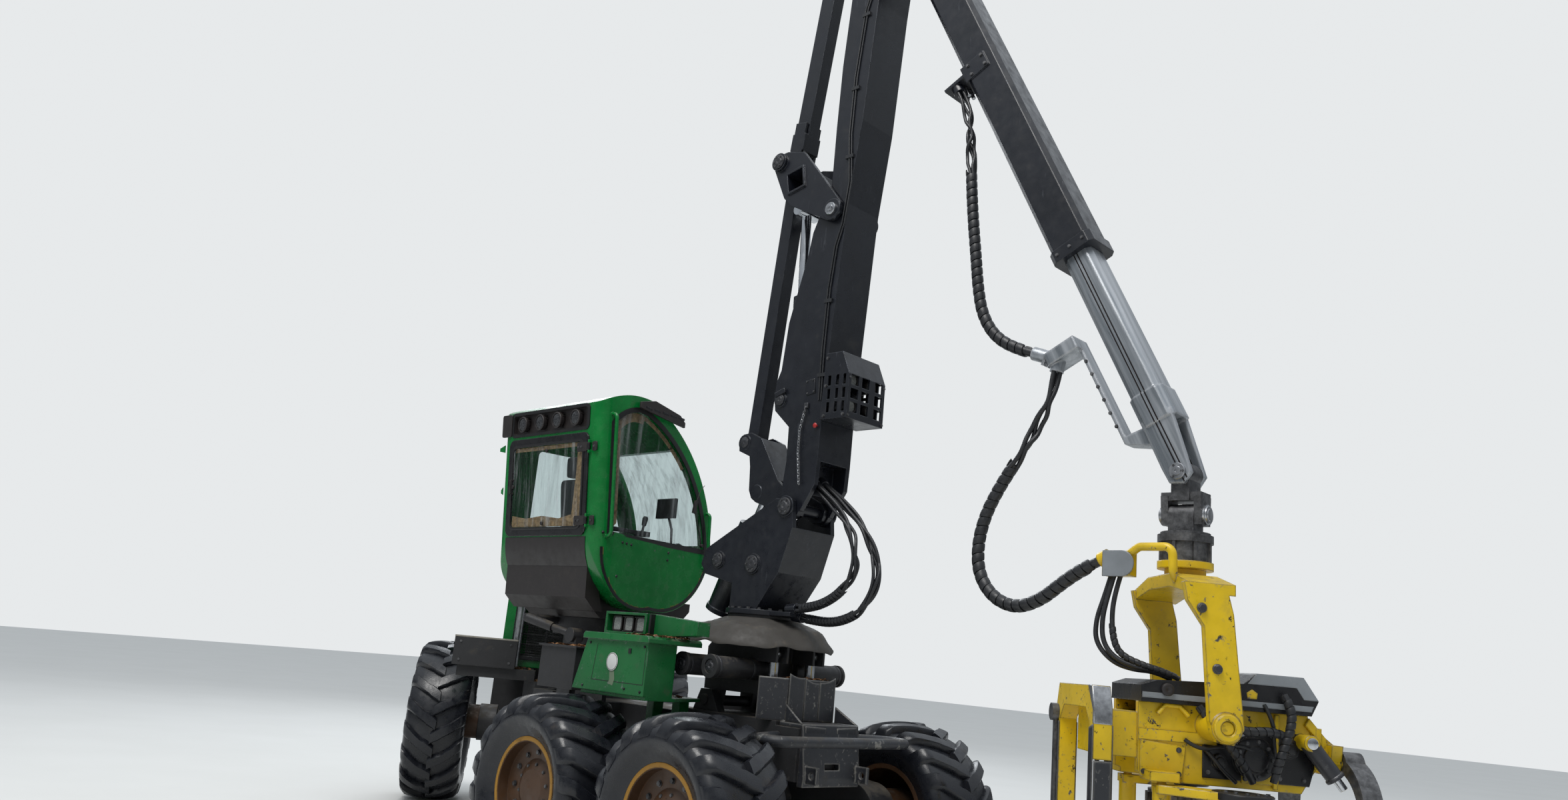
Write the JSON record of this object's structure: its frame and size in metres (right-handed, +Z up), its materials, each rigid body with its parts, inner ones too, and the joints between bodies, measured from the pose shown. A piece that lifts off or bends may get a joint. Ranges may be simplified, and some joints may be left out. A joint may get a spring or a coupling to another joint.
{
  "type": "six-wheeled forestry harvester",
  "caption": "Articulated forestry harvester with a turning cab, a tilting parallel-linkage crane, a telescopic stick and a felling and delimbing head.",
  "frame": {"origin": "on the ground under the centre of the front bogies", "axes": "+X forward along the front frame, +Y to the machine's left, +Z up"},
  "size_m": [10.1082, 4.258, 8.1889],
  "materials": {
    "tyre": "matt, worn",
    "rim_paint": "worn gloss",
    "frame_paint": "worn satin",
    "green_paint": "gloss",
    "crane_paint": "satin",
    "guard_steel": "scraped satin",
    "worn_steel": "worn",
    "chrome": "polished",
    "head_yellow": "worn gloss",
    "rubber": "matt",
    "mat_rubber": "muddy matt",
    "black_plastic": "matt",
    "glass": "clear",
    "lamp_glass": "clear",
    "seat_fabric": "woven",
    "cast_block": "rough",
    "cover_black": "satin",
    "tooth_steel": "worn"
  },
  "bodies": {
    "front_frame": {"front_frame": "frame_paint", "bogies": "frame_paint", "front_guard": "guard_steel", "side_boxes": "green_paint", "front_lamps": "lamp_glass"},
    "rear_frame": {"rear_frame": "frame_paint", "hood": "green_paint", "engine_block": "cast_block"},
    "cab": {"cab_shell": "green_paint", "cab_glass": "glass", "cab_belly": "black_plastic", "cab_lamps": "lamp_glass", "cab_seat": "seat_fabric"},
    "rear_hatch": {"rear_hatch": "cover_black", "hatch_glass": "glass"},
    "cab_door": {"cab_door": "green_paint", "door_glass": "glass"},
    "tilt_base": {"slew_housing": "frame_paint", "rubber_mat": "mat_rubber"},
    "tilt_rods": {"tilt_rods": "chrome"},
    "pillar": {"pillar": "crane_paint"},
    "lift_barrel": {"lift_barrel": "crane_paint"},
    "lift_rod": {"lift_rod": "chrome"},
    "lever": {"lever": "crane_paint"},
    "boom": {"boom": "crane_paint", "foot_hose_inner": "rubber", "foot_hose_outer": "rubber"},
    "lower_link": {"lower_link": "crane_paint"},
    "link_plate": {"link_plate": "crane_paint"},
    "upper_link": {"upper_link": "crane_paint"},
    "reach_barrel": {"reach_barrel": "crane_paint"},
    "reach_rod": {"reach_rod": "chrome"},
    "stick": {"stick": "crane_paint"},
    "extension": {"extension": "worn_steel", "stick_hose": "rubber", "head_hose": "rubber"},
    "tip_link": {"tip_link": "worn_steel"},
    "rotator": {"rotator": "worn_steel"},
    "tilt_frame": {"tilt_frame": "head_yellow"},
    "head": {"head_frame": "head_yellow", "head_cover": "cover_black"},
    "feed_arm_left": {"feed_arm_left": "head_yellow"},
    "feed_arm_right": {"feed_arm_right": "head_yellow"},
    "feed_roller_left": {"feed_roller_left": "tooth_steel"},
    "feed_roller_right": {"feed_roller_right": "tooth_steel"},
    "knife_left": {"knife_left": "worn_steel"},
    "knife_right": {"knife_right": "worn_steel"},
    "saw_bar": {"saw_bar": "worn_steel"},
    "wheel_front_left": {"tyre_front_left": "tyre", "rim_front_left": "rim_paint"},
    "wheel_front_right": {"tyre_front_right": "tyre", "rim_front_right": "rim_paint"},
    "wheel_middle_left": {"tyre_middle_left": "tyre", "rim_middle_left": "rim_paint"},
    "wheel_middle_right": {"tyre_middle_right": "tyre", "rim_middle_right": "rim_paint"},
    "wheel_rear_left": {"tyre_rear_left": "tyre", "rim_rear_left": "rim_paint"},
    "wheel_rear_right": {"tyre_rear_right": "tyre", "rim_rear_right": "rim_paint"}
  },
  "joints": [
    {"name": "roll_front_left", "type": "hinge", "parent": "front_frame", "child": "wheel_front_left", "pos_m": [0.75, 1.13, 0.68], "axis": [0, 1, 0], "continuous": true},
    {"name": "roll_front_right", "type": "hinge", "parent": "front_frame", "child": "wheel_front_right", "pos_m": [0.75, -1.13, 0.68], "axis": [0, 1, 0], "continuous": true},
    {"name": "roll_middle_left", "type": "hinge", "parent": "front_frame", "child": "wheel_middle_left", "pos_m": [-0.75, 1.13, 0.68], "axis": [0, 1, 0], "continuous": true},
    {"name": "roll_middle_right", "type": "hinge", "parent": "front_frame", "child": "wheel_middle_right", "pos_m": [-0.75, -1.13, 0.68], "axis": [0, 1, 0], "continuous": true},
    {"name": "roll_rear_left", "type": "hinge", "parent": "rear_frame", "child": "wheel_rear_left", "pos_m": [-3.49016, 2.07279, 0.815], "axis": [0.5736, 0.8192, 0], "continuous": true},
    {"name": "roll_rear_right", "type": "hinge", "parent": "rear_frame", "child": "wheel_rear_right", "pos_m": [-4.78645, 0.22151, 0.815], "axis": [0.5736, 0.8192, 0], "continuous": true},
    {"name": "steer", "type": "hinge", "parent": "front_frame", "child": "rear_frame", "pos_m": [-2.5, 0, 1.11], "axis": [0, 0, -1], "range_deg": [-75, 5]},
    {"name": "cab_turn", "type": "hinge", "parent": "front_frame", "child": "cab", "pos_m": [-1.9, 0, 1.95], "axis": [0, 0, 1], "range_deg": [-180, 0]},
    {"name": "rear_hatch_swing", "type": "hinge", "parent": "cab", "child": "rear_hatch", "pos_m": [-1.275, -0.76587, 2.54735], "axis": [0, -0.102, 0.9948], "range_deg": [0, 70]},
    {"name": "cab_door_swing", "type": "hinge", "parent": "cab", "child": "cab_door", "pos_m": [-2.66781, -0.53206, 2.9], "axis": [0, 0, 1], "range_deg": [0, 70]},
    {"name": "tilt", "type": "hinge", "parent": "front_frame", "child": "tilt_base", "pos_m": [-0.12, 0, 1.4], "axis": [0, 1, 0], "range_deg": [-8, 10]},
    {"name": "tilt_rod_slide", "type": "slide", "parent": "front_frame", "child": "tilt_rods", "axis": [0, 0, 1], "range_m": [-0.1151, 0.09248]},
    {"name": "slew", "type": "hinge", "parent": "tilt_base", "child": "pillar", "pos_m": [0.13, 0, 2.06], "axis": [0, 0, 1], "range_deg": [-110, 110]},
    {"name": "lift", "type": "hinge", "parent": "pillar", "child": "lever", "pos_m": [0.5, 0, 2.878], "axis": [0, -1, 0], "range_deg": [-22, 12]},
    {"name": "lift_barrel_swing", "type": "hinge", "parent": "pillar", "child": "lift_barrel", "pos_m": [-0.19, 0, 2.47], "axis": [0, 1, 0], "range_deg": [-2.58, 1.63]},
    {"name": "lift_rod_slide", "type": "slide", "parent": "lift_barrel", "child": "lift_rod", "axis": [0.4138, 0, 0.9104], "range_m": [-0.10589, 0.19247]},
    {"name": "reach", "type": "hinge", "parent": "lever", "child": "boom", "pos_m": [0.5, 0, 2.878], "axis": [0, 1, 0], "range_deg": [-4, 50], "deforming": ["foot_hose_inner", "foot_hose_outer"]},
    {"name": "lower_link_swing", "type": "hinge", "parent": "lever", "child": "lower_link", "pos_m": [-0.13, 0, 3.438], "axis": [0, 1, 0], "range_deg": [-4, 50]},
    {"name": "link_plate_swing", "type": "hinge", "parent": "boom", "child": "link_plate", "pos_m": [0.705, 0, 5.258], "axis": [0, 1, 0], "range_deg": [-50, 4]},
    {"name": "stick_swing", "type": "hinge", "parent": "boom", "child": "stick", "pos_m": [1.01, 0, 7.56], "axis": [0, 1, 0], "range_deg": [-50, 4]},
    {"name": "upper_link_swing", "type": "hinge", "parent": "link_plate", "child": "upper_link", "pos_m": [0.075, 0, 5.818], "axis": [0, 1, 0], "range_deg": [-4, 50]},
    {"name": "reach_barrel_swing", "type": "hinge", "parent": "boom", "child": "reach_barrel", "pos_m": [0.29, 0, 3.742], "axis": [0, 1, 0], "range_deg": [-6.57, 0.98]},
    {"name": "reach_rod_slide", "type": "slide", "parent": "reach_barrel", "child": "reach_rod", "axis": [-0.0536, 0, 0.9986], "range_m": [-0.46908, 0.03937]},
    {"name": "telescope", "type": "slide", "parent": "stick", "child": "extension", "axis": [0.4462, 0, -0.8949], "range_m": [-1.09, 0.7], "deforming": ["stick_hose"]},
    {"name": "tip_pitch", "type": "hinge", "parent": "extension", "child": "tip_link", "pos_m": [3.53, 0, 3.02], "axis": [0, 1, 0], "range_deg": [-40, 40], "deforming": ["head_hose"]},
    {"name": "tip_roll", "type": "hinge", "parent": "tip_link", "child": "rotator", "pos_m": [3.53, 0, 2.775], "axis": [1, 0, 0], "range_deg": [-20, 20]},
    {"name": "head_turn", "type": "hinge", "parent": "rotator", "child": "tilt_frame", "pos_m": [3.53, 0, 2.5], "axis": [0, 0, 1], "range_deg": [-170, 170]},
    {"name": "head_tilt", "type": "hinge", "parent": "tilt_frame", "child": "head", "pos_m": [3.57243, 0.04243, 1.6], "axis": [-0.7071, 0.7071, 0], "range_deg": [-85, 25]},
    {"name": "feed_arm_left_swing", "type": "hinge", "parent": "head", "child": "feed_arm_left", "pos_m": [3.17645, 0.04243, 1.2], "axis": [0, 0, 1], "range_deg": [-18, 22]},
    {"name": "feed_arm_right_swing", "type": "hinge", "parent": "head", "child": "feed_arm_right", "pos_m": [3.57243, -0.35355, 1.2], "axis": [0, 0, -1], "range_deg": [-18, 22]},
    {"name": "feed_roller_left_spin", "type": "hinge", "parent": "feed_arm_left", "child": "feed_roller_left", "pos_m": [3.33201, 0.41012, 1.2], "axis": [0, 0, 1], "continuous": true},
    {"name": "feed_roller_right_spin", "type": "hinge", "parent": "feed_arm_right", "child": "feed_roller_right", "pos_m": [3.94012, -0.19799, 1.2], "axis": [0, 0, -1], "continuous": true},
    {"name": "knife_left_swing", "type": "hinge", "parent": "head", "child": "knife_left", "pos_m": [3.91891, 0.74246, 1.47], "axis": [0.7071, 0.7071, 0], "range_deg": [-20, 22]},
    {"name": "knife_right_swing", "type": "hinge", "parent": "head", "child": "knife_right", "pos_m": [4.27246, 0.38891, 1.47], "axis": [-0.7071, -0.7071, 0], "range_deg": [-20, 22]},
    {"name": "saw_swing", "type": "hinge", "parent": "head", "child": "saw_bar", "pos_m": [2.8335, -0.19445, 1.59], "axis": [-0.7071, -0.7071, 0], "range_deg": [0, 75]}
  ],
  "couplings": [
    {"joint": "tilt_rod_slide", "follows": "tilt", "m_per_rad": -0.6},
    {"joint": "lift_barrel_swing", "follows": "lift", "ratio": 0.08742},
    {"joint": "lift_rod_slide", "follows": "lift", "m_per_rad": -0.45931},
    {"joint": "lower_link_swing", "follows": "reach", "ratio": 1},
    {"joint": "link_plate_swing", "follows": "reach", "ratio": -1},
    {"joint": "stick_swing", "follows": "reach", "ratio": -1},
    {"joint": "upper_link_swing", "follows": "reach", "ratio": 1},
    {"joint": "reach_barrel_swing", "follows": "reach", "ratio": -0.11236},
    {"joint": "reach_rod_slide", "follows": "reach", "m_per_rad": -0.49559},
    {"joint": "feed_arm_right_swing", "follows": "feed_arm_left_swing", "ratio": 1},
    {"joint": "knife_right_swing", "follows": "knife_left_swing", "ratio": 1}
  ]
}
